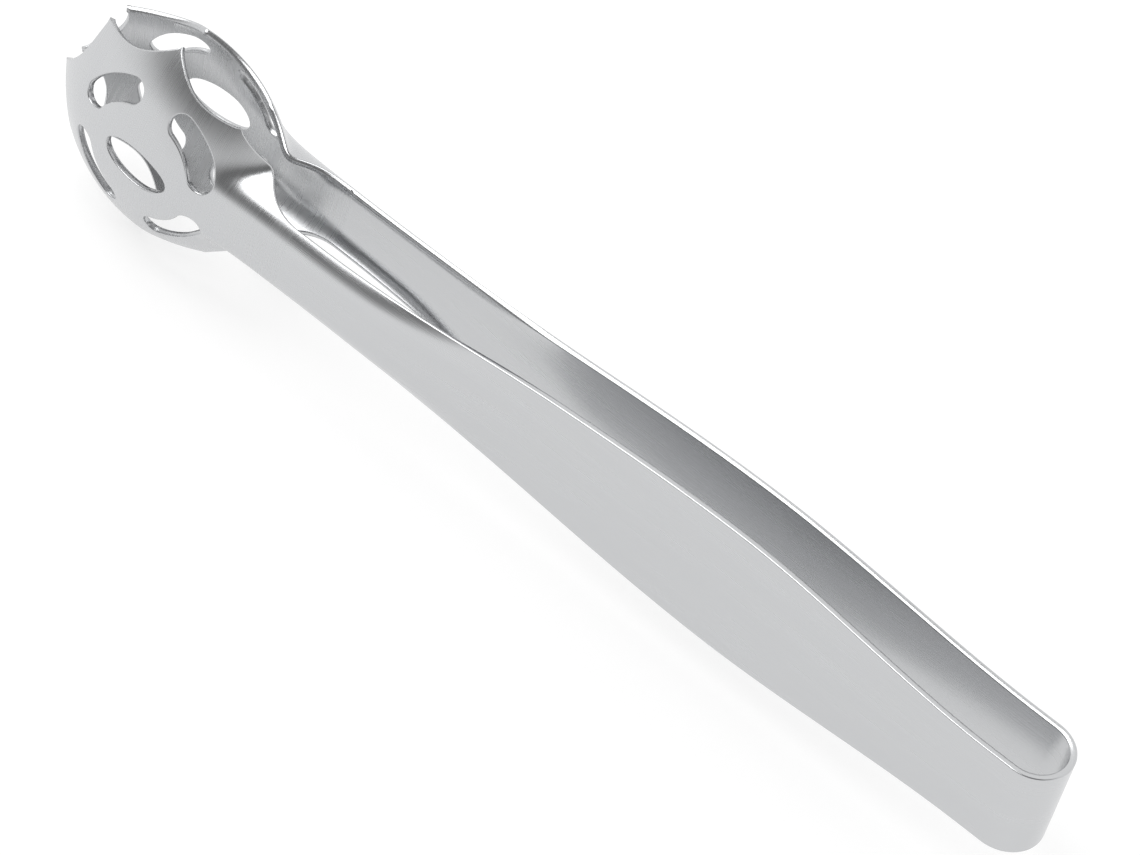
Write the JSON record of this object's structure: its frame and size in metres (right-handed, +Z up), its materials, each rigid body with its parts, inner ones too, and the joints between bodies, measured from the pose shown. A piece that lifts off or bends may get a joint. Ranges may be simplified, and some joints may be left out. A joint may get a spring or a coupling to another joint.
{
  "type": "ice tongs",
  "caption": "Spring-bow ice tongs bent from one steel strip, with wide handles, channelled necks and perforated toothed claws that open and close together.",
  "frame": {"origin": "under the middle of the bounding box, on the plane through the lowest claw teeth", "axes": "+X along the tongs from the claws to the spring bow, +Y from the front arm to the rear arm, +Z up across the width of the strip"},
  "size_m": [0.17, 0.0192, 0.035],
  "materials": {
    "polished_strip": "satin stainless steel, slightly brighter where it is bent",
    "satin_strip": "satin stainless steel with faint lines along the strip",
    "brushed_claw": "satin stainless steel with fine brushing across the fold between claw and neck"
  },
  "bodies": {
    "bow": {"spring_bow": "polished_strip"},
    "front_arm": {"front_handle": "satin_strip", "front_neck": "satin_strip", "front_claw": "brushed_claw"},
    "rear_arm": {"rear_handle": "satin_strip", "rear_neck": "satin_strip", "rear_claw": "brushed_claw"}
  },
  "joints": [
    {"name": "front_flex", "type": "hinge", "parent": "bow", "child": "front_arm", "pos_m": [0.0757, -0.005, 0.0175], "axis": [0, 0, 1], "range_deg": [-0.25, 6], "stiffness_Nm_per_rad": 5},
    {"name": "rear_flex", "type": "hinge", "parent": "bow", "child": "rear_arm", "pos_m": [0.0757, 0.005, 0.0175], "axis": [0, 0, 1], "range_deg": [-6, 0.25], "stiffness_Nm_per_rad": 5}
  ],
  "couplings": [
    {"joint": "rear_flex", "follows": "front_flex", "ratio": -1}
  ]
}
